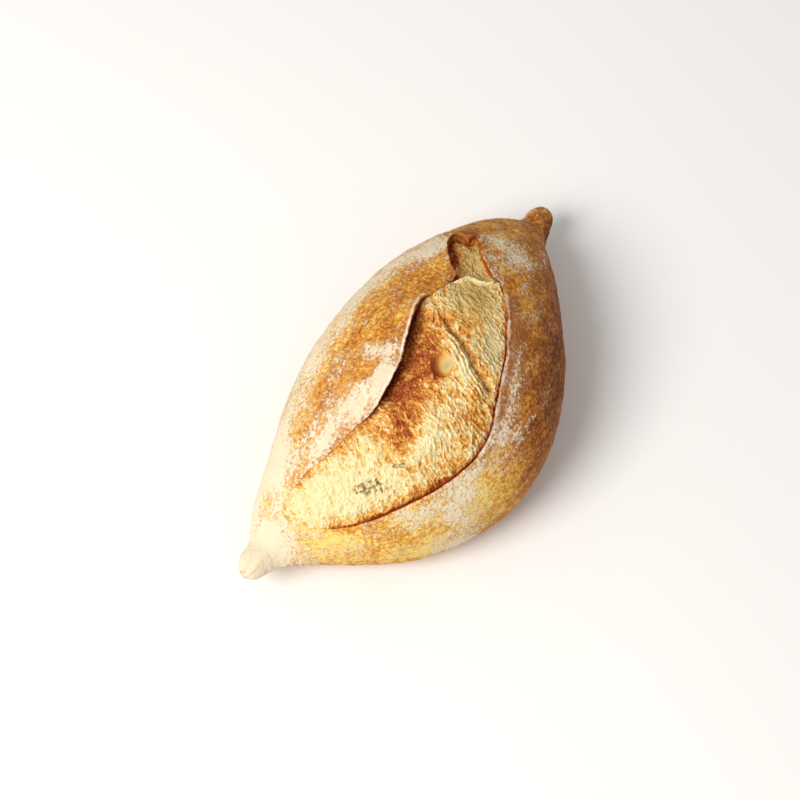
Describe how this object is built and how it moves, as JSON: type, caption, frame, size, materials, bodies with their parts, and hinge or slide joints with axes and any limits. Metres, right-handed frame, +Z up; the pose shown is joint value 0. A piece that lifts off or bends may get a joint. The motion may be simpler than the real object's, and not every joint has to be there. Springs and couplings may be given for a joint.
{
  "type": "french bread roll",
  "caption": "Pointed, hand-shaped bread roll with a browned crust, a long opened slash with a raised ear, and a flat baked base.",
  "frame": {"origin": "bottom centre of the bounding box, on the flat baked base", "axes": "+X along the roll to its far tip, +Y to the side of the raised ear, +Z up"},
  "size_m": [0.152, 0.0756, 0.0556],
  "materials": {
    "crust": "matt baked crust, floured"
  },
  "bodies": {
    "root": {"roll": "crust"}
  },
  "joints": []
}
